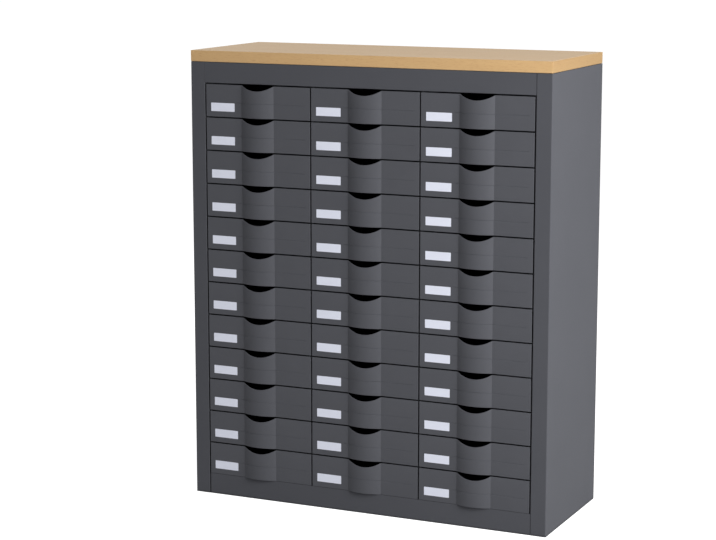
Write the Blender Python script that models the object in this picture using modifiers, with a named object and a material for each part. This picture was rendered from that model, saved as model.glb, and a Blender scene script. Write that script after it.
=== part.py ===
"""Office drawer unit: a floor-standing steel carcass under a beech-effect board,
with columns of moulded document drawers that slide on stamped steel runners.

Units are metres, +Z is up, the fronts face -Y, and the origin is the middle of
the footprint on the floor.
"""
import math

import bmesh
import bpy
from mathutils import Matrix, Vector

# Driving dimensions of the carcass
COLUMN_NAMES = ("left", "middle", "right")
ROWS = 12
CARCASS_WIDTH = 0.8532
CARCASS_DEPTH = 0.326
CARCASS_HEIGHT = 0.9916
STILE_WIDTH = 0.0351
TOP_RAIL_HEIGHT = 0.046
BASE_HEIGHT = 0.045
PLINTH_TOP_GAP = 0.0004
FRONT_GAP = 0.003
FIT = 0.0003

# Gauges, bends and folded edges of the sheet steel
CORNER_RADIUS = 0.0018
BEND_INSIDE = 0.0002
PANEL_SHEET = 0.001
BACK_SHEET = 0.001
PARTITION_SHEET = 0.001
RUNNER_SHEET = 0.0012
STILE_LIP = 0.025
RAIL_LIP = 0.010
PAN_FLANGE = 0.020
BASE_FLANGE = 0.040
PLINTH_FOOT = 0.020
PARTITION_FLANGE = 0.015

# Worktop board and the screws that hold it from below
BOARD_THICKNESS = 0.025
BOARD_EDGE_RADIUS = 0.002
SCREW_RADIUS = 0.0025
SCREW_GRIP = 0.014
SCREW_HEAD_RADIUS = 0.006
SCREW_HEAD_HEIGHT = 0.0035
SCREW_INSET_X = 0.090
SCREW_INSET_Y = 0.050

# Drawer front
FRONT_THICKNESS = 0.0025
BOW_WIDTH = 0.0798
BOW_RISE = 0.0095
GRIP_WIDTH = 0.0785
GRIP_DEPTH = 0.0118
LABEL_WIDTH = 0.0597
LABEL_HEIGHT = 0.0193
LABEL_MARGIN = 0.0119
LABEL_SEAT_DEPTH = 0.0006

# Drawer tray, its stop lugs and the runners that carry it
TRAY_WALL = 0.002
TRAY_LIFT = 0.003
TRAY_WALL_DROP = 0.0108
TRAY_CORNER_RADIUS = 0.008
TRAY_SIDE_CLEARANCE = 0.001
TRAY_REAR_CLEARANCE = 0.005
TRAVEL = 0.250
LUG_LENGTH = 0.012
LUG_CLEARANCE = 0.001
STOP_CLEARANCE = 0.0005
LEDGE_WIDTH = 0.005
RUNNER_FRONT_CLEARANCE = 0.0027
TAB_LIFT = 0.002
TAB_OVERLAP = 0.001

# Smoothness of the round shapes
BEND_SEGMENTS = 4
TRAY_CORNER_SEGMENTS = 3
BOW_SEGMENTS = 8
GRIP_CIRCLE_SEGMENTS = 48
SCREW_SEGMENTS = 12
WELD_DISTANCE = 0.000002

# Sizes that follow from the driving dimensions
COLUMNS = len(COLUMN_NAMES)
RAIL_BOTTOM = CARCASS_HEIGHT - TOP_RAIL_HEIGHT
CELLS_WIDTH = CARCASS_WIDTH - 2 * STILE_WIDTH - FRONT_GAP
CELLS_HEIGHT = RAIL_BOTTOM - BASE_HEIGHT - FRONT_GAP
CELLS_BOTTOM = BASE_HEIGHT + FRONT_GAP / 2
COLUMN_PITCH = CELLS_WIDTH / COLUMNS
ROW_PITCH = CELLS_HEIGHT / ROWS
FRONT_Y = (BOW_RISE - CARCASS_DEPTH) / 2
BACK_Y = FRONT_Y + CARCASS_DEPTH
INNER_BACK_Y = BACK_Y - BACK_SHEET - FIT
STILE_EDGE_X = CARCASS_WIDTH / 2 - STILE_WIDTH
PLINTH_HEIGHT = BASE_HEIGHT + FRONT_GAP - PLINTH_TOP_GAP
DRAWER_WIDTH = COLUMN_PITCH - FRONT_GAP
DRAWER_HEIGHT = ROW_PITCH - FRONT_GAP
RUNNER_OUTER_INSET = PARTITION_SHEET / 2 + FIT
RUNNER_INNER_INSET = RUNNER_OUTER_INSET + RUNNER_SHEET
TRAY_HALF_WIDTH = COLUMN_PITCH / 2 - RUNNER_INNER_INSET - TRAY_SIDE_CLEARANCE
TRAY_LENGTH = CARCASS_DEPTH - BACK_SHEET - TRAY_REAR_CLEARANCE
RUNNER_FRONT = FRONT_THICKNESS + RUNNER_FRONT_CLEARANCE
TAB_REAR = RUNNER_FRONT + RUNNER_SHEET
LUG_FRONT = TAB_REAR + TRAVEL + STOP_CLEARANCE
WALL_TOP = DRAWER_HEIGHT - TRAY_WALL_DROP
LUG_TOP = DRAWER_HEIGHT - LUG_CLEARANCE
BOW_RADIUS = (BOW_WIDTH**2 / 4 + BOW_RISE**2) / (2 * BOW_RISE)
GRIP_RADIUS = (GRIP_WIDTH**2 / 4 + GRIP_DEPTH**2) / (2 * GRIP_DEPTH)

# A clean scene and the collections
for old_object in list(bpy.data.objects):
    bpy.data.objects.remove(old_object, do_unlink=True)

PARTS = bpy.data.collections.new("office_drawer_unit")
CUTTERS = bpy.data.collections.new("office_drawer_unit_cutters")
bpy.context.scene.collection.children.link(PARTS)
bpy.context.scene.collection.children.link(CUTTERS)


def make_material(name, colour, roughness, metallic=0.0):
    """One plain finish; the colour is linear RGB."""
    material = bpy.data.materials.new(name)
    material.use_nodes = True
    shader = material.node_tree.nodes["Principled BSDF"]
    shader.inputs["Base Color"].default_value = (*colour, 1.0)
    shader.inputs["Roughness"].default_value = roughness
    shader.inputs["Metallic"].default_value = metallic
    return material


PAINTED_STEEL = make_material("anthracite_painted_steel", (0.072, 0.072, 0.080), 0.5)
MOULDED_PLASTIC = make_material("anthracite_moulded_plastic", (0.078, 0.079, 0.085), 0.45)
BEECH_BOARD = make_material("beech_effect_board", (0.62, 0.42, 0.20), 0.4)
PLATED_STEEL = make_material("zinc_plated_steel", (0.55, 0.56, 0.58), 0.4, 1.0)


def add_part(name, mesh, material, location=(0.0, 0.0, 0.0)):
    """Puts a mesh in the parts collection as one named sub-part."""
    part = bpy.data.objects.new(name, mesh)
    part.location = location
    if not mesh.materials:
        mesh.materials.append(material)
    PARTS.objects.link(part)
    return part


def add_cutter(name, mesh):
    """Puts a mesh in the cutters collection, out of sight."""
    cutter = bpy.data.objects.new(name, mesh)
    cutter.hide_render = True
    cutter.display_type = "WIRE"
    CUTTERS.objects.link(cutter)
    return cutter


def add_boolean(target, cutter, operation):
    """Joins or cuts the target with another mesh."""
    modifier = target.modifiers.new(cutter.name, "BOOLEAN")
    modifier.operation = operation
    modifier.object = cutter


def mesh_from(name, shape):
    """Turns a bmesh into a mesh."""
    mesh = bpy.data.meshes.new(name)
    shape.to_mesh(mesh)
    shape.free()
    return mesh


def evaluated_mesh(name, source):
    """The mesh that an object with its modifiers shows, welded."""
    graph = bpy.context.evaluated_depsgraph_get()
    raw = bpy.data.meshes.new_from_object(source.evaluated_get(graph))
    shape = bmesh.new()
    shape.from_mesh(raw)
    bpy.data.meshes.remove(raw)
    bmesh.ops.remove_doubles(shape, verts=shape.verts, dist=WELD_DISTANCE)
    return mesh_from(name, shape)


def box_mesh(name, boxes):
    """Separate boxes, each given by two opposite corners."""
    shape = bmesh.new()
    for corner, opposite in boxes:
        size = [abs(b - a) for a, b in zip(corner, opposite)]
        middle = [(a + b) / 2 for a, b in zip(corner, opposite)]
        place = Matrix.Translation(middle) @ Matrix.Diagonal((*size, 1.0))
        bmesh.ops.create_cube(shape, size=1.0, matrix=place)
    return mesh_from(name, shape)


def arc_points(centre, radius, start, end, segments):
    """Points along an arc in a plane, angles in radians, both ends included."""
    points = []
    for step in range(segments + 1):
        angle = start + (end - start) * step / segments
        points.append((centre[0] + radius * math.cos(angle), centre[1] + radius * math.sin(angle)))
    return points


def outline_mesh(name, points, bottom, top):
    """A flat closed outline in XY, filled and extruded upwards from bottom to top."""
    shape = bmesh.new()
    outline = shape.faces.new([shape.verts.new((x, y, bottom)) for x, y in points])
    swept = bmesh.ops.extrude_face_region(shape, geom=[outline])["geom"]
    raised = [item for item in swept if isinstance(item, bmesh.types.BMVert)]
    bmesh.ops.translate(shape, verts=raised, vec=(0.0, 0.0, top - bottom))
    bmesh.ops.recalc_face_normals(shape, faces=shape.faces)
    return mesh_from(name, shape)


def bent_line(corners, radii):
    """A line of points whose inner corners are bent to the given outer radii."""
    points = [corners[0]]
    for before, corner, after, radius in zip(corners, corners[1:], corners[2:], radii):
        arrive = (Vector(corner) - Vector(before)).normalized()
        leave = (Vector(after) - Vector(corner)).normalized()
        turn = math.atan2(arrive.cross(leave), arrive.dot(leave))
        start = Vector(corner) - arrive * radius * math.tan(abs(turn) / 2)
        towards_centre = Vector((-arrive.y, arrive.x)) * math.copysign(radius, turn)
        centre = start + towards_centre
        first = math.atan2(-towards_centre.y, -towards_centre.x)
        points += arc_points(centre, radius, first, first + turn, BEND_SEGMENTS)
    return [*points, corners[-1]]


def folded_sheet(name, corners, sweep, gauge, place, inside=1, wide_bends=()):
    """Sheet metal: a bent line swept straight and given its gauge by Solidify.

    corners lie on the outer skin. place turns (across, up, along) into (x, y, z),
    inside is -1 where it mirrors, and wide_bends numbers the bends of CORNER_RADIUS.
    """
    bends = range(len(corners) - 2)
    radii = [CORNER_RADIUS if bend in wide_bends else gauge + BEND_INSIDE for bend in bends]
    shape = bmesh.new()
    line = bent_line(corners, radii)
    start = [shape.verts.new(place(across, up, sweep[0])) for across, up in line]
    edges = [shape.edges.new(pair) for pair in zip(start, start[1:])]
    swept = bmesh.ops.extrude_edge_only(shape, edges=edges)["geom"]
    end = [item for item in swept if isinstance(item, bmesh.types.BMVert)]
    run = [b - a for a, b in zip(place(0.0, 0.0, sweep[0]), place(0.0, 0.0, sweep[1]))]
    bmesh.ops.translate(shape, verts=end, vec=run)
    part = add_part(name, mesh_from(name, shape), PAINTED_STEEL)
    solidify = part.modifiers.new("gauge", "SOLIDIFY")
    solidify.thickness = gauge
    solidify.offset = -inside
    solidify.use_even_offset = True
    return part


# Side panels: a skin folded round the front corner into a stile, and into lips inside
def make_side_panel(name, side):
    rear = INNER_BACK_Y - FRONT_Y
    corners = [
        (STILE_WIDTH, STILE_LIP),
        (STILE_WIDTH, 0.0),
        (0.0, 0.0),
        (0.0, rear),
        (STILE_WIDTH, rear),
        (STILE_WIDTH, rear - STILE_LIP),
    ]

    def place(inwards, back, up):
        return (side * (CARCASS_WIDTH / 2 - inwards), FRONT_Y + back, up)

    folded_sheet(name, corners, (0.0, CARCASS_HEIGHT), PANEL_SHEET, place, -side, wide_bends=(1,))


make_side_panel("left_side_panel", -1)
make_side_panel("right_side_panel", 1)


# Pans and strips that span between the stiles, swept along X
def along_width(back, up, along):
    return (along, FRONT_Y + back, up)


PAN_REAR = INNER_BACK_Y - FRONT_Y
PAN_SWEEP = (FIT - STILE_EDGE_X, STILE_EDGE_X - FIT)
top_fold = [
    (RAIL_LIP, RAIL_BOTTOM),
    (0.0, RAIL_BOTTOM),
    (0.0, CARCASS_HEIGHT),
    (PAN_REAR, CARCASS_HEIGHT),
    (PAN_REAR, CARCASS_HEIGHT - PAN_FLANGE),
]
top_panel = folded_sheet("top_panel", top_fold, PAN_SWEEP, PANEL_SHEET, along_width)

# The base and the plinth in front of it are set against the right stile, and a slot as wide
# as the fronts' gaps is left at their other end
BASE_SWEEP = (FRONT_GAP - STILE_EDGE_X, STILE_EDGE_X - FIT)
BASE_FRONT = PANEL_SHEET + FIT
base_fold = [
    (BASE_FRONT, BASE_HEIGHT - BASE_FLANGE),
    (BASE_FRONT, BASE_HEIGHT),
    (PAN_REAR, BASE_HEIGHT),
    (PAN_REAR, BASE_HEIGHT - PAN_FLANGE),
]
folded_sheet("base_panel", base_fold, BASE_SWEEP, PANEL_SHEET, along_width)

# The plinth lies in one plane with the stiles and reaches up to the lowest fronts
plinth_fold = [
    (PLINTH_FOOT, 0.0),
    (0.0, 0.0),
    (0.0, PLINTH_HEIGHT),
]
folded_sheet("plinth", plinth_fold, BASE_SWEEP, PANEL_SHEET, along_width)

# Back panel: one flat sheet over the rear flanges
back_low = (-CARCASS_WIDTH / 2, BACK_Y - BACK_SHEET, 0.0)
back_high = (CARCASS_WIDTH / 2, BACK_Y, CARCASS_HEIGHT)
add_part("back_panel", box_mesh("back_panel", [(back_low, back_high)]), PAINTED_STEEL)


# Partitions between the columns, flanged to the base and the top
def make_partition(name, x):
    bottom = BASE_HEIGHT + FIT
    top = CARCASS_HEIGHT - PANEL_SHEET - FIT
    web = x - PARTITION_SHEET / 2
    corners = [
        (web + PARTITION_FLANGE, bottom),
        (web, bottom),
        (web, top),
        (web + PARTITION_FLANGE, top),
    ]
    sweep = (FRONT_Y + RAIL_LIP + FIT, INNER_BACK_Y - PANEL_SHEET - FIT)

    def place(across, up, along):
        return (across, along, up)

    folded_sheet(name, corners, sweep, PARTITION_SHEET, place, -1)


for boundary in range(1, COLUMNS):
    make_partition(f"partition_{boundary}", boundary * COLUMN_PITCH - CELLS_WIDTH / 2)


# Worktop: a laminated board with eased edges, held by screws through the top panel
def screw_places():
    for x in (SCREW_INSET_X - CARCASS_WIDTH / 2, CARCASS_WIDTH / 2 - SCREW_INSET_X):
        for y in (FRONT_Y + SCREW_INSET_Y, BACK_Y - SCREW_INSET_Y):
            yield (x, y)


BOARD_BOTTOM = CARCASS_HEIGHT + FIT
board_low = (-CARCASS_WIDTH / 2, FRONT_Y, BOARD_BOTTOM)
board_high = (CARCASS_WIDTH / 2, BACK_Y, BOARD_BOTTOM + BOARD_THICKNESS)
worktop = add_part("worktop", box_mesh("worktop", [(board_low, board_high)]), BEECH_BOARD)
edge_round = worktop.modifiers.new("eased_edges", "BEVEL")
edge_round.width = BOARD_EDGE_RADIUS
edge_round.segments = 2

HEAD_TOP = CARCASS_HEIGHT - PANEL_SHEET - FIT
BORE_TOP = BOARD_BOTTOM + SCREW_GRIP + FIT
bore_shape = bmesh.new()
for screw_x, screw_y in screw_places():
    bmesh.ops.create_cone(
        bore_shape,
        cap_ends=True,
        segments=SCREW_SEGMENTS,
        radius1=SCREW_RADIUS + FIT,
        radius2=SCREW_RADIUS + FIT,
        depth=BORE_TOP - HEAD_TOP,
        matrix=Matrix.Translation((screw_x, screw_y, (BORE_TOP + HEAD_TOP) / 2)),
    )
screw_bores = add_cutter("worktop_screw_bores", mesh_from("worktop_screw_bores", bore_shape))
add_boolean(worktop, screw_bores, "DIFFERENCE")
add_boolean(top_panel, screw_bores, "DIFFERENCE")


# Pan-head screws, turned from one profile that runs down from the tip
def make_screw(name, x, y):
    profile = [
        (0.0, BOARD_BOTTOM + SCREW_GRIP),
        (SCREW_RADIUS, BOARD_BOTTOM + SCREW_GRIP),
        (SCREW_RADIUS, HEAD_TOP),
        (SCREW_HEAD_RADIUS, HEAD_TOP),
        (SCREW_HEAD_RADIUS, HEAD_TOP - SCREW_HEAD_HEIGHT),
        (0.0, HEAD_TOP - SCREW_HEAD_HEIGHT),
    ]
    shape = bmesh.new()
    points = [shape.verts.new((radius, 0.0, height)) for radius, height in profile]
    for pair in zip(points, points[1:]):
        shape.edges.new(pair)
    screw = add_part(name, mesh_from(name, shape), PLATED_STEEL, (x, y, 0.0))
    turning = screw.modifiers.new("turning", "SCREW")
    turning.steps = SCREW_SEGMENTS
    turning.render_steps = SCREW_SEGMENTS
    turning.use_merge_vertices = True
    turning.merge_threshold = WELD_DISTANCE


for number, (screw_x, screw_y) in enumerate(screw_places(), 1):
    make_screw(f"worktop_screw_{number}", screw_x, screw_y)


# Where a column's middle and a row's lower edge lie, rows counted from the top
def column_x(column):
    return (column + 0.5) * COLUMN_PITCH - CELLS_WIDTH / 2


def row_z(row):
    return CELLS_BOTTOM + (ROWS - 1 - row) * ROW_PITCH


# Runners: a web with a ledge and a stop tab for each drawer, both folded inwards.
# The two that stand beside the stiles have feet that reach the stiles' lips.
def make_runner(name, column, side):
    edge = column_x(column) + side * COLUMN_PITCH / 2
    outer = edge - side * RUNNER_OUTER_INSET
    inner = edge - side * RUNNER_INNER_INSET
    branch_root = inner + side * RUNNER_SHEET / 3
    foot_root = outer - side * RUNNER_SHEET / 3
    ledge_end = inner - side * LEDGE_WIDTH
    tab_end = inner - side * (TRAY_SIDE_CLEARANCE + TRAY_WALL + TAB_OVERLAP)
    front = FRONT_Y + RUNNER_FRONT
    tab_rear = FRONT_Y + TAB_REAR
    rear = FRONT_Y + TRAY_LENGTH
    bottom = BASE_HEIGHT + PARTITION_SHEET + 2 * FIT
    top = RAIL_BOTTOM - FIT

    branches = []
    for row in range(ROWS):
        drawer_bottom = row_z(row) + FRONT_GAP / 2
        ledge_top = drawer_bottom + TRAY_LIFT - FIT
        tab_bottom = drawer_bottom + WALL_TOP + TAB_LIFT
        tab_top = drawer_bottom + DRAWER_HEIGHT
        branches.append(((branch_root, front, ledge_top - RUNNER_SHEET), (ledge_end, rear, ledge_top)))
        branches.append(((branch_root, front, tab_bottom), (tab_end, tab_rear, tab_top)))
    if column + side in (-1, COLUMNS):
        lip_face = side * (STILE_EDGE_X - FIT)
        branches.append(((lip_face, front, bottom), (foot_root, FRONT_Y + STILE_LIP, top)))
        branches.append(((lip_face, INNER_BACK_Y - STILE_LIP, bottom), (foot_root, rear, top)))

    web = [((outer, front, bottom), (inner, rear, top))]
    runner = add_part(name, box_mesh(name, web), PAINTED_STEEL)
    add_boolean(runner, add_cutter(f"{name}_branches", box_mesh(name, branches)), "UNION")


for column_number, column_name in enumerate(COLUMN_NAMES):
    make_runner(f"runner_{column_name}_l", column_number, -1)
    make_runner(f"runner_{column_name}_r", column_number, 1)


# Drawer: a bowed front and an open tray moulded in one. Its own origin is the middle
# of the front's lower edge, with the tray behind it along +Y.
def bow_arc(radius, half_width):
    """Arc of the bow about its own centre, from left to right, bulging forwards."""
    reach = math.asin(half_width / radius)
    middle = (0.0, BOW_RADIUS - BOW_RISE)
    return arc_points(middle, radius, 1.5 * math.pi - reach, 1.5 * math.pi + reach, BOW_SEGMENTS)


def rear_corners(half_width, rear, radius):
    """The two rounded rear corners of a tray outline, from right to left."""
    quarter = math.pi / 2
    side = half_width - radius
    right = arc_points((side, rear - radius), radius, 0.0, quarter, TRAY_CORNER_SEGMENTS)
    left = arc_points((-side, rear - radius), radius, quarter, 2 * quarter, TRAY_CORNER_SEGMENTS)
    return right + left


def make_drawer_mesh():
    half = DRAWER_WIDTH / 2
    front_outline = [
        (-half, 0.0),
        *bow_arc(BOW_RADIUS, BOW_WIDTH / 2),
        (half, 0.0),
        (half, FRONT_THICKNESS),
        (-half, FRONT_THICKNESS),
    ]
    shell_outline = [
        (-TRAY_HALF_WIDTH, FRONT_THICKNESS / 2),
        (TRAY_HALF_WIDTH, FRONT_THICKNESS / 2),
        *rear_corners(TRAY_HALF_WIDTH, TRAY_LENGTH, TRAY_CORNER_RADIUS),
    ]
    inner_radius = BOW_RADIUS - FRONT_THICKNESS
    inner_drop = BOW_RADIUS - BOW_RISE - FRONT_THICKNESS
    hollow_half = math.sqrt(inner_radius**2 - inner_drop**2)
    hollow_outline = [
        *bow_arc(inner_radius, hollow_half),
        (hollow_half, 2 * FRONT_THICKNESS),
        (-hollow_half, 2 * FRONT_THICKNESS),
    ]
    inner_half = TRAY_HALF_WIDTH - TRAY_WALL
    inside_outline = [
        (-inner_half, FRONT_THICKNESS),
        (inner_half, FRONT_THICKNESS),
        *rear_corners(inner_half, TRAY_LENGTH - TRAY_WALL, TRAY_CORNER_RADIUS - TRAY_WALL),
    ]
    lugs = []
    for side in (-1, 1):
        inner_corner = (side * (inner_half - TRAY_WALL), LUG_FRONT, TRAY_LIFT + TRAY_WALL)
        outer_corner = (side * TRAY_HALF_WIDTH, LUG_FRONT + LUG_LENGTH, LUG_TOP)
        lugs.append((inner_corner, outer_corner))
    label_low = (LABEL_MARGIN - half, -LABEL_SEAT_DEPTH, LABEL_MARGIN)
    label_high = (LABEL_MARGIN - half + LABEL_WIDTH, LABEL_SEAT_DEPTH, LABEL_MARGIN + LABEL_HEIGHT)

    grip_shape = bmesh.new()
    grip_middle = (0.0, 0.0, DRAWER_HEIGHT - GRIP_DEPTH + GRIP_RADIUS)
    bmesh.ops.create_cone(
        grip_shape,
        cap_ends=True,
        segments=GRIP_CIRCLE_SEGMENTS,
        radius1=GRIP_RADIUS,
        radius2=GRIP_RADIUS,
        depth=4 * BOW_RISE,
        matrix=Matrix.Translation(grip_middle) @ Matrix.Rotation(math.pi / 2, 4, "X"),
    )

    body = add_cutter("drawer_body", outline_mesh("drawer_body", front_outline, 0.0, DRAWER_HEIGHT))
    joined = {
        "drawer_shell": outline_mesh("drawer_shell", shell_outline, TRAY_LIFT, WALL_TOP),
        "drawer_lugs": box_mesh("drawer_lugs", lugs),
    }
    floor = TRAY_LIFT + TRAY_WALL
    above = DRAWER_HEIGHT + TRAY_LIFT
    removed = {
        "drawer_inside": outline_mesh("drawer_inside", inside_outline, floor, above),
        "drawer_bow_hollow": outline_mesh("drawer_bow_hollow", hollow_outline, floor, above),
        "drawer_grip": mesh_from("drawer_grip", grip_shape),
        "drawer_label_seat": box_mesh("drawer_label_seat", [(label_low, label_high)]),
    }
    for name, mesh in joined.items():
        add_boolean(body, add_cutter(name, mesh), "UNION")
    for name, mesh in removed.items():
        add_boolean(body, add_cutter(name, mesh), "DIFFERENCE")
    mesh = evaluated_mesh("drawer", body)
    bpy.data.objects.remove(body, do_unlink=True)
    return mesh


drawer_mesh = make_drawer_mesh()
for column_number, column_name in enumerate(COLUMN_NAMES):
    for row_number in range(ROWS):
        drawer_name = f"drawer_{column_name}_{row_number + 1:02d}"
        drawer_place = (column_x(column_number), FRONT_Y, row_z(row_number) + FRONT_GAP / 2)
        add_part(drawer_name, drawer_mesh, MOULDED_PLASTIC, drawer_place)
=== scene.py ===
import math

import bmesh
import bpy
from mathutils import Matrix, Vector


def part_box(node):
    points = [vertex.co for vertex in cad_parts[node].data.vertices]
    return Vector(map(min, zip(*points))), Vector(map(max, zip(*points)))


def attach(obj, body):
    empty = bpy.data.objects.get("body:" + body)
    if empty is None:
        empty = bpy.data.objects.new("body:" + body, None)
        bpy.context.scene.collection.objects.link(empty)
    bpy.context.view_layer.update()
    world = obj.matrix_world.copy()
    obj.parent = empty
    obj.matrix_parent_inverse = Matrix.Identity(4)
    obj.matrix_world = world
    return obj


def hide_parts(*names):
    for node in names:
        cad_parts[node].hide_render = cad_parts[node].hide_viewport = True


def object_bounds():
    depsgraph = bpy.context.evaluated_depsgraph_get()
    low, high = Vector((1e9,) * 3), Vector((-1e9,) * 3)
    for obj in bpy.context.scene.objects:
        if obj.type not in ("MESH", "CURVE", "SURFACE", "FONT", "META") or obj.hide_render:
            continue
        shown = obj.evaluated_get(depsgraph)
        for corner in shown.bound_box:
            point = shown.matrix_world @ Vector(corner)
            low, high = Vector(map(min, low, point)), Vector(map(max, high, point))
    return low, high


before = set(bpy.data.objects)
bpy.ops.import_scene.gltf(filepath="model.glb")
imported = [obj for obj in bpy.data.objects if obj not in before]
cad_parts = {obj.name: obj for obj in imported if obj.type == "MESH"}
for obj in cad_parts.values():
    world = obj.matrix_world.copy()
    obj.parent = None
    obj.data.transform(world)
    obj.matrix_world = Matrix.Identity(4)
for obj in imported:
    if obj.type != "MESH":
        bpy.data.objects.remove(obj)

CAD_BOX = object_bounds()


# Carcass: sides, top panel with its rail, base, plinth, partitions, back, and the runners with
# a ledge and a tab for every drawer. Sheet steel, folded or stamped, spot-welded into one frame
# and then powder-coated. The solids have every bend already, so they only get their coat.
def linear(code):
    """A colour written as sRGB hex, as the linear RGBA that a shader takes."""
    channels = [int(code[at:at + 2], 16) / 255 for at in (1, 3, 5)]
    curve = [c / 12.92 if c <= 0.04045 else ((c + 0.055) / 1.055) ** 2.4 for c in channels]
    return (*curve, 1.0)


def add_node(tree, kind, inputs, **settings):
    """Adds a node: inputs are values or links by socket, settings are its own switches."""
    made = tree.nodes.new("ShaderNode" + kind)
    for name, value in settings.items():
        setattr(made, name, value)
    for socket, value in inputs.items():
        if isinstance(value, bpy.types.NodeSocket):
            tree.links.new(value, made.inputs[socket])
        else:
            made.inputs[socket].default_value = value
    return made


def new_material(name):
    """An empty Principled material, its node tree and its shader."""
    material = bpy.data.materials.new(name)
    material.use_nodes = True
    tree = material.node_tree
    return material, tree, tree.nodes["Principled BSDF"]


def blend(tree, share, low, high):
    """The colour that lies a share of the way from low to high."""
    return add_node(tree, "Mix", {0: share, 6: low, 7: high}, data_type="RGBA").outputs[2]


def dress(tree, shader, colour, gloss, relief):
    """Links colour, roughness and relief to a shader."""
    tree.links.new(colour, shader.inputs["Base Color"])
    tree.links.new(gloss.outputs[0], shader.inputs["Roughness"])
    tree.links.new(relief.outputs[0], shader.inputs["Normal"])


# Powder-coated steel: an even satin anthracite whose film drifts a little in tone over a
# hand's width. Its orange peel is 1.5 mm wide, drawn at 3 mm so that it shows. Narrow gaps
# and crevices get painted shade: an occlusion mask draws the colour there to near black.
COAT_DRIFT = 0.120
COAT_PEEL = 0.003
PAINTED_SHADE_REACH = 0.010
PAINTED_SHADE_SAMPLES = 6
FULL_SHADE_OPENNESS = 0.35
NO_SHADE_OPENNESS = 0.75
powder_coat, tree, shader = new_material("powder_coated_steel")
place = add_node(tree, "TexCoord", {}).outputs["Object"]
drift = add_node(tree, "TexNoise", {"Vector": place, "Scale": 1 / COAT_DRIFT, "Detail": 3.0})
peel = add_node(tree, "TexNoise", {"Vector": place, "Scale": 1 / COAT_PEEL, "Detail": 1.0})
tone = blend(tree, drift.outputs[0], linear("#47484d"), linear("#4b4c51"))
# Painted shade: where nearby surfaces close in, the tone is blended towards near black.
openness = add_node(tree, "AmbientOcclusion", {"Distance": PAINTED_SHADE_REACH}, samples=PAINTED_SHADE_SAMPLES)
unshaded_share = add_node(
    tree, "MapRange",
    {"Value": openness.outputs["AO"], "From Min": FULL_SHADE_OPENNESS, "From Max": NO_SHADE_OPENNESS},
)
tone_with_painted_shade = blend(tree, unshaded_share.outputs[0], linear("#121214"), tone)
gloss = add_node(tree, "MapRange", {"Value": peel.outputs[0], "To Min": 0.66, "To Max": 0.78})
relief = add_node(
    tree, "Bump",
    {"Height": peel.outputs[0], "Strength": 0.12, "Distance": 0.0002},
)
dress(tree, shader, tone_with_painted_shade, gloss, relief)
shader.inputs["Specular IOR Level"].default_value = 0.15

for name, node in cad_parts.items():
    if name.endswith("_panel") or name.startswith(("plinth", "partition_", "runner_")):
        node.data.materials.clear()
        node.data.materials.append(powder_coat)


# Worktop screws: four pan-head screws that hold the board from below, through the top panel.
# Cold-headed steel, zinc plated: a cool grey metal with fine crystals, drawn 4 mm across.
ZINC_SPANGLE = 0.004
zinc_plate, tree, shader = new_material("zinc_plated_steel")
place = add_node(tree, "TexCoord", {}).outputs["Object"]
spangle = add_node(tree, "TexVoronoi", {"Vector": place, "Scale": 1 / ZINC_SPANGLE})
tone = blend(tree, spangle.outputs["Color"], linear("#a9acb0"), linear("#bfc2c6"))
gloss = add_node(
    tree, "MapRange",
    {"Value": spangle.outputs["Color"], "To Min": 0.34, "To Max": 0.46},
)
relief = add_node(
    tree, "Bump",
    {"Height": spangle.outputs["Distance"], "Strength": 0.1, "Distance": 0.0001},
)
dress(tree, shader, tone, gloss, relief)
shader.inputs["Metallic"].default_value = 1.0

for name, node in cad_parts.items():
    if name.startswith("worktop_screw_"):
        node.data.materials.clear()
        node.data.materials.append(zinc_plate)


# Drawers: one injection moulding each, a bowed front with a crescent finger cut, a label seat
# and a thin trim line, and behind it an open tray with coved floor edges and two stop lugs.
# All are from one mould and share one mesh, whose origin is the lower middle of the flat front.
FRONT_WIDTH = 0.257
HALF_FRONT = FRONT_WIDTH / 2
FRONT_HEIGHT = 0.0718
FRONT_THICKNESS = 0.0025
FRONT_EASING = 0.0005
FRONT_RIM = 0.0011
END_ANGLES = (15, 40, 65, 90)
EASING_STEPS = 5
BOW_WIDTH = 0.0798
BOW_RISE = 0.0095
BOW_STEPS = 28
GRIP_WIDTH = 0.0785
GRIP_DEPTH = 0.0118
LABEL_WIDTH = 0.0597
LABEL_HEIGHT = 0.0193
LABEL_MARGIN = 0.0119
LABEL_CORNER = 0.0015
LABEL_SEAT_DEPTH = 0.0006
TRIM_LINE_GAP = 0.003
TRIM_LINE_START = LABEL_MARGIN + LABEL_WIDTH + TRIM_LINE_GAP - HALF_FRONT
TRIM_LINE_END = HALF_FRONT - LABEL_MARGIN
TRIM_LINE_HEIGHT = 0.0318
TRIM_LINE_WIDTH = 0.0014
TRIM_LINE_DEPTH = 0.0006
TRIM_LINE_FADE = 0.001
TRAY_HALF_WIDTH = 0.127
TRAY_LENGTH = 0.320
TRAY_WALL = 0.002
TRAY_LIFT = 0.003
TRAY_TOP = 0.061
TRAY_CORNER = 0.008
CORNER_STEPS = 6
TRAY_EASING = 0.0005
FLOOR_COVE = 0.003
COVE_STEPS = 4
BURIED = 0.001
LUG_FRONT = 0.2569
LUG_LENGTH = 0.012
LUG_TOP = 0.0708
LUG_EASING = 0.0006
LUG_EASING_STEPS = 3
DRAWER_CREASE = 20
BOW_RADIUS = (BOW_WIDTH**2 / 4 + BOW_RISE**2) / (2 * BOW_RISE)
BOW_CENTRE = BOW_RADIUS - BOW_RISE
GRIP_RADIUS = (GRIP_WIDTH**2 / 4 + GRIP_DEPTH**2) / (2 * GRIP_DEPTH)
FLOOR_TOP = TRAY_LIFT + TRAY_WALL


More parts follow.
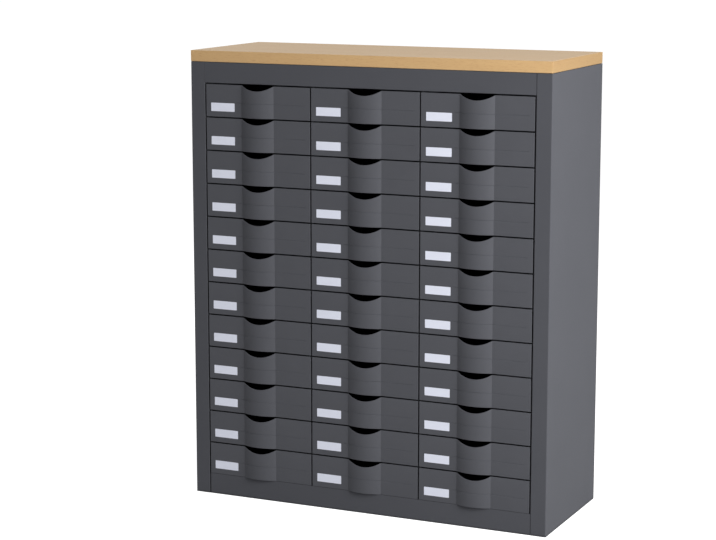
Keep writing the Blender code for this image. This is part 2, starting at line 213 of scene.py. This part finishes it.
def behind_front(x, depth):
    """The point that lies depth behind the front's outer face, where that face is x across."""
    radius = BOW_RADIUS - depth
    crease = math.sqrt(radius**2 - (BOW_CENTRE - depth) ** 2)
    outer_crease = BOW_WIDTH / 2
    if abs(x) > outer_crease:
        share = (HALF_FRONT - abs(x)) / (HALF_FRONT - outer_crease)
        return (math.copysign(HALF_FRONT - share * (HALF_FRONT - crease), x), depth)
    reach = math.asin(crease / radius)
    turn = reach * math.asin(x / BOW_RADIUS) / math.asin(outer_crease / BOW_RADIUS)
    return (radius * math.sin(turn), BOW_CENTRE - radius * math.cos(turn))


def front_top(x):
    """Height of the front's upper edge, which dips in the crescent finger cut."""
    if abs(x) >= GRIP_WIDTH / 2:
        return FRONT_HEIGHT
    return FRONT_HEIGHT - GRIP_DEPTH + GRIP_RADIUS - math.sqrt(GRIP_RADIUS**2 - x**2)


def wall_section(thickness, low, top_at, easing, inset=0.0, face=()):
    """Section of a wall with eased edges, as (depth, height) pairs, up its face and down behind."""
    radius = easing - inset
    rear = thickness - easing
    arc = [math.pi / 2 * step / EASING_STEPS for step in range(EASING_STEPS + 1)]
    points = [(easing - radius * math.sin(a), low + easing - radius * math.cos(a)) for a in arc]
    points += [(inset + sink, height) for sink, height in face]
    for a in arc:
        depth = easing - radius * math.cos(a)
        points.append((depth, top_at(depth) - easing + radius * math.sin(a)))
    for a in arc:
        depth = rear + radius * math.sin(a)
        points.append((depth, top_at(depth) - easing + radius * math.cos(a)))
    points += [(rear + radius * math.cos(a), low + easing - radius * math.sin(a)) for a in arc]
    return points


def skinned(loops):
    """A closed solid through equal loops of points, with a flat face at each end."""
    shape = bmesh.new()
    rows = [[shape.verts.new(point) for point in loop] for loop in loops]
    for row, following in zip(rows, rows[1:]):
        for at in range(len(row)):
            shape.faces.new((row[at - 1], row[at], following[at], following[at - 1]))
    shape.faces.new(rows[0])
    shape.faces.new(rows[-1])
    bmesh.ops.recalc_face_normals(shape, faces=shape.faces)
    return shape


def new_object(name, shape):
    """A bmesh as an object of the scene."""
    mesh = bpy.data.meshes.new(name)
    shape.to_mesh(mesh)
    shape.free()
    made = bpy.data.objects.new(name, mesh)
    bpy.context.scene.collection.objects.link(made)
    return made


def drawer_front():
    """The front plate: its section swept across, thinned to a round rim past the tray's sides."""
    ends = []
    for angle in END_ANGLES:
        turn = math.radians(angle)
        x = HALF_FRONT - FRONT_EASING * (1 - math.cos(turn))
        ends.append((x, FRONT_EASING * (1 - math.sin(turn))))
    ends.append((TRAY_HALF_WIDTH, 0.0))
    reach = math.asin(BOW_WIDTH / 2 / BOW_RADIUS)
    turns = [reach * (2 * step / BOW_STEPS - 1) for step in range(1, BOW_STEPS)]
    bow = [-BOW_WIDTH / 2, *(BOW_RADIUS * math.sin(turn) for turn in turns), BOW_WIDTH / 2]
    line_ends = [
        TRIM_LINE_START, TRIM_LINE_START + TRIM_LINE_FADE,
        TRIM_LINE_END - TRIM_LINE_FADE, TRIM_LINE_END,
    ]
    stations = [(-x, inset) for x, inset in ends]
    stations += [(x, 0.0) for x in line_ends[:2] + bow + line_ends[2:]]
    stations += reversed(ends)
    loops = []
    for x, inset in stations:
        sunk = TRIM_LINE_DEPTH if line_ends[1] <= x <= line_ends[2] else 0.0
        line = [
            (0.0, TRIM_LINE_HEIGHT - TRIM_LINE_WIDTH / 2),
            (sunk, TRIM_LINE_HEIGHT),
            (0.0, TRIM_LINE_HEIGHT + TRIM_LINE_WIDTH / 2),
        ]

        def top_at(depth):
            return front_top(behind_front(x, depth)[0])

        thickness = FRONT_THICKNESS if abs(x) <= TRAY_HALF_WIDTH else FRONT_RIM
        section = wall_section(thickness, 0.0, top_at, FRONT_EASING, inset, line)
        loops.append([(*behind_front(x, depth), height) for depth, height in section])
    return skinned(loops)


def tray_line(inset):
    """The tray's outline from its left front round the rear to its right front."""
    side = TRAY_HALF_WIDTH - inset
    rear = TRAY_LENGTH - inset
    radius = TRAY_CORNER - inset
    turns = [math.pi / 2 * step / CORNER_STEPS for step in range(CORNER_STEPS + 1)]
    left = [
        (radius - side - radius * math.cos(turn), rear - radius + radius * math.sin(turn))
        for turn in turns
    ]
    right = [(-x, y) for x, y in reversed(left)]
    start = FRONT_THICKNESS / 2
    return [(-side, start), *left, *right, (side, start)]


def tray_walls():
    """The side and rear walls, swept round the tray's outline."""
    section = wall_section(TRAY_WALL, TRAY_LIFT, lambda depth: TRAY_TOP, TRAY_EASING)
    lines = [tray_line(depth) for depth, height in section]
    heights = [height for depth, height in section]
    return skinned([
        [(*point, height) for point, height in zip(points, heights)] for points in zip(*lines)
    ])


def tray_floor():
    """The floor, coved up to the walls and to the inside of the front."""
    rounding = [math.pi / 2 * step / COVE_STEPS for step in range(COVE_STEPS + 1)]
    cove = [
        (FLOOR_COVE * (1 - math.cos(a)), FLOOR_TOP + FLOOR_COVE * (1 - math.sin(a)))
        for a in rounding
    ]
    profile = [(-BURIED, TRAY_LIFT + TRAY_EASING), (-BURIED, FLOOR_TOP + FLOOR_COVE), *cove]
    loops = []
    for inset, height in profile:
        side = TRAY_HALF_WIDTH - TRAY_WALL - inset
        depth = FRONT_THICKNESS + inset
        bow = [
            behind_front(BOW_WIDTH * (step / BOW_STEPS - 0.5), depth)
            for step in range(BOW_STEPS + 1)
        ]
        rear = tray_line(TRAY_WALL + inset)[-2:0:-1]
        loops.append([(*point, height) for point in [(-side, depth), *bow, (side, depth), *rear]])
    return skinned(loops)


def stop_lugs():
    """The two lugs that stand up from the side walls and meet the runners' tabs."""
    shape = bmesh.new()
    inner = TRAY_HALF_WIDTH - 2 * TRAY_WALL
    size = (TRAY_HALF_WIDTH - TRAY_EASING / 2 - inner, LUG_LENGTH, LUG_TOP - TRAY_LIFT - BURIED)
    for side in (-1, 1):
        middle = (side * (inner + size[0] / 2), LUG_FRONT + LUG_LENGTH / 2, LUG_TOP - size[2] / 2)
        place = Matrix.Translation(middle) @ Matrix.Diagonal((*size, 1.0))
        bmesh.ops.create_cube(shape, size=1.0, matrix=place)
    bmesh.ops.bevel(
        shape, geom=shape.edges, offset=LUG_EASING, segments=LUG_EASING_STEPS, profile=0.5,
        affect="EDGES",
    )
    return shape


def label_outline(margin):
    """Rounded rectangle of the label seat on the front, drawn in by margin, as (x, z) pairs."""
    radius = LABEL_CORNER - margin
    middle = (LABEL_MARGIN + LABEL_WIDTH / 2 - HALF_FRONT, LABEL_MARGIN + LABEL_HEIGHT / 2)
    reach = (LABEL_WIDTH / 2 - LABEL_CORNER, LABEL_HEIGHT / 2 - LABEL_CORNER)
    points = []
    for quarter, (right, up) in enumerate(((1, 1), (-1, 1), (-1, -1), (1, -1))):
        for step in range(CORNER_STEPS + 1):
            angle = math.pi / 2 * (quarter + step / CORNER_STEPS)
            points.append((
                middle[0] + right * reach[0] + radius * math.cos(angle),
                middle[1] + up * reach[1] + radius * math.sin(angle),
            ))
    return points


def label_seat():
    """The shallow recess that the label card lies in."""
    depths = (-LABEL_SEAT_DEPTH, LABEL_SEAT_DEPTH)
    return skinned([[(x, depth, z) for x, z in label_outline(0.0)] for depth in depths])


def smooth_faces(mesh, crease):
    """Smooth shading that stays crisp at edges sharper than the crease angle."""
    mesh.shade_smooth()
    mesh.set_sharp_from_angle(angle=math.radians(crease))


def finished_mesh(name, base):
    """The mesh that an object shows with its modifiers, which are then gone with the object."""
    graph = bpy.context.evaluated_depsgraph_get()
    mesh = bpy.data.meshes.new_from_object(base.evaluated_get(graph))
    mesh.name = name
    bpy.data.objects.remove(base, do_unlink=True)
    return mesh


drawer_base = new_object("drawer_front", drawer_front())
joined = {
    "walls": tray_walls(),
    "floor": tray_floor(),
    "lugs": stop_lugs(),
    "label_seat": label_seat(),
}
tools = []
for name, shape in joined.items():
    tool = new_object("drawer_" + name, shape)
    step = drawer_base.modifiers.new(name, "BOOLEAN")
    step.operation = "DIFFERENCE" if name == "label_seat" else "UNION"
    step.object = tool
    tools.append(tool)
drawer_mesh = finished_mesh("drawer_moulding", drawer_base)
for tool in tools:
    bpy.data.objects.remove(tool, do_unlink=True)
smooth_faces(drawer_mesh, DRAWER_CREASE)

# Moulded polystyrene: anthracite right through, from a spark-eroded mould. The grain is
# 0.3 mm, drawn at 1.2 mm so that it shows, and the flow of the melt shifts the tone slightly.
PLASTIC_GRAIN = 0.0012
PLASTIC_FLOW = 0.060
polystyrene, tree, shader = new_material("moulded_polystyrene")
place = add_node(tree, "TexCoord", {}).outputs["Object"]
own = add_node(tree, "ObjectInfo", {}).outputs["Random"]
spot = add_node(tree, "VectorMath", {0: place, 1: own}, operation="ADD").outputs[0]
flow = add_node(tree, "TexNoise", {"Vector": spot, "Scale": 1 / PLASTIC_FLOW, "Detail": 2.0})
grain = add_node(tree, "TexNoise", {"Vector": spot, "Scale": 1 / PLASTIC_GRAIN, "Detail": 2.0})
tone = blend(tree, flow.outputs[0], linear("#4a4b50"), linear("#4e4f54"))
gloss = add_node(tree, "MapRange", {"Value": grain.outputs[0], "To Min": 0.60, "To Max": 0.72})
relief = add_node(
    tree, "Bump",
    {"Height": grain.outputs[0], "Strength": 0.1, "Distance": 0.0001},
)
dress(tree, shader, tone, gloss, relief)
shader.inputs["Specular IOR Level"].default_value = 0.15
drawer_mesh.materials.append(polystyrene)

DRAWERS = sorted(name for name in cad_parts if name.startswith("drawer_"))
drawer_places = {}
for name in DRAWERS:
    low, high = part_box(name)
    drawer_places[name] = ((low.x + high.x) / 2, low.y + BOW_RISE, low.z)
    drawer = bpy.data.objects.new(name + "_moulding", drawer_mesh)
    drawer.location = drawer_places[name]
    bpy.context.scene.collection.objects.link(drawer)
    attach(drawer, name)
    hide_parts(name)


# Label cards: a blank slip of white card, die-cut with rounded corners, pressed into the
# seat of each drawer front. It lies just below the front's face.
CARD_MARGIN = 0.0003
CARD_SINK = 0.0001
CARD_EASING = 0.0001
CARD_CREASE = 30
card_rims = (
    (CARD_MARGIN + CARD_EASING, CARD_SINK),
    (CARD_MARGIN, CARD_SINK + CARD_EASING),
    (CARD_MARGIN, LABEL_SEAT_DEPTH - CARD_EASING / 2),
)
card_shape = skinned([
    [(x, depth, z) for x, z in label_outline(margin)] for margin, depth in card_rims
])
card_mesh = bpy.data.meshes.new("label_card")
card_shape.to_mesh(card_mesh)
card_shape.free()
smooth_faces(card_mesh, CARD_CREASE)

# Uncoated white card: a cool white with soft cloudy fibres about 2 mm long.
CARD_FIBRE = 0.002
white_card, tree, shader = new_material("uncoated_white_card")
place = add_node(tree, "TexCoord", {}).outputs["Object"]
fibre = add_node(tree, "TexNoise", {"Vector": place, "Scale": 1 / CARD_FIBRE, "Detail": 4.0})
tone = blend(tree, fibre.outputs[0], linear("#d6d9e6"), linear("#dcdfec"))
gloss = add_node(tree, "MapRange", {"Value": fibre.outputs[0], "To Min": 0.75, "To Max": 0.9})
relief = add_node(
    tree, "Bump",
    {"Height": fibre.outputs[0], "Strength": 0.1, "Distance": 0.00005},
)
dress(tree, shader, tone, gloss, relief)
shader.inputs["Specular IOR Level"].default_value = 0.3
card_mesh.materials.append(white_card)

for name in DRAWERS:
    card = bpy.data.objects.new(name + "_label_card", card_mesh)
    card.location = drawer_places[name]
    bpy.context.scene.collection.objects.link(card)
    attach(card, name)


# Closing strips: a strip of the carcass sheet in the open top of each hollow side, cut to fit,
# spot-welded just under the rim and coated with the rest, so that nothing shows through there.
STRIP_SHEET = 0.001
STRIP_SINK = 0.0001
STRIP_CLEARANCE = 0.0004
STRIP_EASING = 0.0002
STRIP_EASING_STEPS = 2


def eased_block(name, low, high, steps, upper_easing, lower_easing):
    """A block between two corners, its lowest edges rounded by lower_easing, the rest by upper."""
    shape = bmesh.new()
    middle = (low + high) / 2
    place = Matrix.Translation(middle) @ Matrix.Diagonal((*(high - low), 1.0))
    bmesh.ops.create_cube(shape, size=1.0, matrix=place)
    share = shape.edges.layers.float.new("bevel_weight_edge")
    largest = max(upper_easing, lower_easing)
    for edge in shape.edges:
        under = all(corner.co.z < middle.z for corner in edge.verts)
        edge[share] = (lower_easing if under else upper_easing) / largest
    block = new_object(name, shape)
    easing = block.modifiers.new("eased_edges", "BEVEL")
    easing.limit_method = "WEIGHT"
    easing.width = largest
    easing.segments = steps
    block.data.shade_smooth()
    weighting = block.modifiers.new("flat_faces", "WEIGHTED_NORMAL")
    weighting.keep_sharp = True
    return block


for side in ("left", "right"):
    low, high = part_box(side + "_side_panel")
    inset = STRIP_SHEET + STRIP_CLEARANCE
    strip_low = Vector((low.x + inset, low.y + inset, high.z - STRIP_SINK - STRIP_SHEET))
    strip_high = Vector((high.x - inset, high.y - inset, high.z - STRIP_SINK))
    strip = eased_block(
        side + "_closing_strip", strip_low, strip_high,
        STRIP_EASING_STEPS, STRIP_EASING, STRIP_EASING,
    )
    strip.data.materials.append(powder_coat)
    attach(strip, "carcass")


# Worktop: a 25 mm chipboard with beech-effect laminate above and below and an edge band of the
# same decor on all four sides, sawn flush with the carcass. Its edges are broken above and eased
# by two millimetres below. The laminate faces are painted paler and greyer, a painted sheen, and
# the short end bands darker, a painted shade.
BOARD_UPPER_EASING = 0.0008
BOARD_LOWER_EASING = 0.002
BOARD_EASING_STEPS = 4
FACING = 0.5
LAMINATE_PAINTED_SHEEN_FACE, LONG_BAND, SHORT_BAND_PAINTED_SHADE = 0, 1, 2
board = eased_block(
    "worktop_board", *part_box("worktop"), BOARD_EASING_STEPS, BOARD_UPPER_EASING, BOARD_LOWER_EASING,
)
for face in board.data.polygons:
    if abs(face.normal.z) > FACING:
        face.material_index = LAMINATE_PAINTED_SHEEN_FACE
    else:
        face.material_index = LONG_BAND if abs(face.normal.y) > FACING else SHORT_BAND_PAINTED_SHADE

# Beech decor: a pink-brown ground in slow bands along the grain, finer growth lines, and the
# short dark ray flecks of beech. Flecks are 0.4 by 3 mm, drawn at 1 by 12 mm so that they show.
BAND_SIZE = (0.350, 0.022)
LINE_SIZE = (0.140, 0.0045)
FLECK_SIZE = (0.012, 0.0010)


def beech_decor(name, grain_axis, light, dark, fleck):
    """Beech-effect laminate with its grain along one axis of the board."""
    material, tree, shader = new_material(name)
    place = add_node(tree, "TexCoord", {}).outputs["Object"]

    def stretched(size, detail):
        length, width = size
        scale = [1 / width] * 3
        scale[grain_axis] = 1 / length
        spot = add_node(tree, "VectorMath", {0: place, 1: scale}, operation="MULTIPLY").outputs[0]
        noise = add_node(tree, "TexNoise", {"Vector": spot, "Scale": 1.0, "Detail": detail})
        return noise.outputs[0]

    bands = stretched(BAND_SIZE, 3.0)
    lines = stretched(LINE_SIZE, 2.0)
    flecks = stretched(FLECK_SIZE, 1.0)
    ground = blend(tree, bands, linear(dark), linear(light))
    line_share = add_node(
        tree, "MapRange",
        {"Value": lines, "From Min": 0.52, "From Max": 0.72, "To Max": 0.45},
    )
    lined = blend(tree, line_share.outputs[0], ground, linear(dark))
    fleck_share = add_node(
        tree, "MapRange",
        {"Value": flecks, "From Min": 0.60, "From Max": 0.70, "To Max": 0.5},
    )
    flecked = blend(tree, fleck_share.outputs[0], lined, linear(fleck))
    gloss = add_node(tree, "MapRange", {"Value": lines, "To Min": 0.58, "To Max": 0.70})
    relief = add_node(tree, "Bump", {"Height": flecks, "Strength": 0.06, "Distance": 0.0001})
    dress(tree, shader, flecked, gloss, relief)
    shader.inputs["Specular IOR Level"].default_value = 0.4
    return material


ALONG_X, ALONG_Y = 0, 1
# Painted sheen: the laminate's colours are paler and greyer than the long band's, standing in for the
# white sheen on the top.
for decor in (
    ("beech_laminate_painted_sheen", ALONG_X, "#d0b693", "#c5a783", "#af8f6e"),
    ("beech_edge_band_long", ALONG_X, "#c8a676", "#bd9869", "#a88054"),
    # Painted shade: the short bands are darker than the long ones, offsetting the lamp that lights
    # the ends.
    ("beech_edge_band_short_painted_shade", ALONG_Y, "#a1845a", "#97784f", "#876641"),
):
    board.data.materials.append(beech_decor(*decor))
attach(board, "carcass")
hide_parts("worktop")


# Studio floor and surround: a matt white floor that runs out into white. Camera and mirror rays
# see both at full white, while they light the object at a plain level. The patch that the unit
# stands on is plain floor in its shade.
FLOOR_SIZE = 80.0
PATCH_INSET = 0.0005
SHADED_FLOOR = 1
patch_low, patch_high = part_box("left_side_panel")[0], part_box("right_side_panel")[1]
rims = []
floor_shape = bmesh.new()
for left, front, right, back in (
    (-FLOOR_SIZE / 2, -FLOOR_SIZE / 2, FLOOR_SIZE / 2, FLOOR_SIZE / 2),
    (
        patch_low.x + PATCH_INSET, patch_low.y + PATCH_INSET,
        patch_high.x - PATCH_INSET, patch_high.y - PATCH_INSET,
    ),
):
    corners = ((left, front), (right, front), (right, back), (left, back))
    rims.append([floor_shape.verts.new((*corner, 0.0)) for corner in corners])
outer, inner = rims
for at in range(len(inner)):
    floor_shape.faces.new((outer[at - 1], outer[at], inner[at], inner[at - 1]))
floor_shape.faces.new(inner).material_index = SHADED_FLOOR
floor = new_object("studio_floor", floor_shape)


def seen_directly(tree):
    """1 for camera, mirror and glass rays, 0 for the rays that light the object."""
    path = add_node(tree, "LightPath", {}).outputs
    mirror = add_node(
        tree, "Math",
        {0: path["Is Glossy Ray"], 1: path["Is Transmission Ray"]},
        operation="MAXIMUM",
    )
    direct = add_node(
        tree, "Math",
        {0: path["Is Camera Ray"], 1: mirror.outputs[0]},
        operation="MAXIMUM",
    )
    return direct.outputs[0]


FLOOR_MOTTLE = 0.4
FLOOR_LIFT = 0.82


def matt_floor(name):
    """Matt white floor paint, faintly mottled, with its node tree and shader."""
    material, tree, shader = new_material(name)
    place = add_node(tree, "TexCoord", {}).outputs["Object"]
    mottle = add_node(tree, "TexNoise", {"Vector": place, "Scale": 1 / FLOOR_MOTTLE})
    tone = blend(tree, mottle.outputs[0], linear("#c6c6c6"), linear("#cacaca"))
    tree.links.new(tone, shader.inputs["Base Color"])
    shader.inputs["Roughness"].default_value = 0.9
    shader.inputs["Specular IOR Level"].default_value = 0.0
    return material, tree, shader


bright_floor, tree, shader = matt_floor("matt_white_floor")
lift = add_node(tree, "Math", {0: seen_directly(tree), 1: FLOOR_LIFT}, operation="MULTIPLY")
tree.links.new(lift.outputs[0], shader.inputs["Emission Strength"])
shader.inputs["Emission Color"].default_value = linear("#ffffff")
floor.data.materials.append(bright_floor)
floor.data.materials.append(matt_floor("matt_white_floor_in_shade")[0])

SURROUND_LIGHT = 0.38
surround = bpy.data.worlds.new("white_surround")
surround.use_nodes = True
tree = surround.node_tree
level = add_node(
    tree, "MapRange",
    {"Value": seen_directly(tree), "To Min": SURROUND_LIGHT, "To Max": 1.0},
)
sky = tree.nodes["Background"]
sky.inputs["Color"].default_value = linear("#ffffff")
tree.links.new(level.outputs[0], sky.inputs["Strength"])
bpy.context.scene.world = surround


# Studio lamps: a large soft box on the right and a little above, as the shading of the bowed
# fronts shows, and a weaker one behind on the left so that the back reads too.
def soft_box(name, azimuth, elevation, distance, size, power):
    """A square soft box aimed at the middle of the object; azimuth 0 is straight in front."""
    lamp = bpy.data.lights.new(name, "AREA")
    lamp.shape = "SQUARE"
    lamp.size = size
    lamp.energy = power
    made = bpy.data.objects.new(name, lamp)
    turn, rise = math.radians(azimuth), math.radians(elevation)
    reach = math.cos(rise)
    towards = Vector((math.sin(turn) * reach, -math.cos(turn) * reach, math.sin(rise)))
    made.location = (CAD_BOX[0] + CAD_BOX[1]) / 2 + towards * distance
    made.rotation_euler = towards.to_track_quat("Z", "Y").to_euler()
    bpy.context.scene.collection.objects.link(made)


soft_box("key_soft_box", azimuth=63.6, elevation=20, distance=3.04, size=1.3, power=116)
soft_box("rear_soft_box", azimuth=250, elevation=25, distance=3.6, size=1.8, power=50)


# Camera: where the photograph was taken from, at its focal length.
CAMERA_PLACE = (1.82045, -4.12572, 1.31482)
CAMERA_TURN = (80.0670, 0.0, 24.8338)
CAMERA_LENS = 102.12
SENSOR_WIDTH = 36.0
lens = bpy.data.cameras.new("photo_camera")
lens.lens = CAMERA_LENS
lens.sensor_width = SENSOR_WIDTH
lens.sensor_fit = "HORIZONTAL"
camera = bpy.data.objects.new("photo_camera", lens)
camera.location = CAMERA_PLACE
camera.rotation_euler = [math.radians(angle) for angle in CAMERA_TURN]
bpy.context.scene.collection.objects.link(camera)
bpy.context.scene.camera = camera
bpy.context.scene.view_settings.view_transform = "Standard"
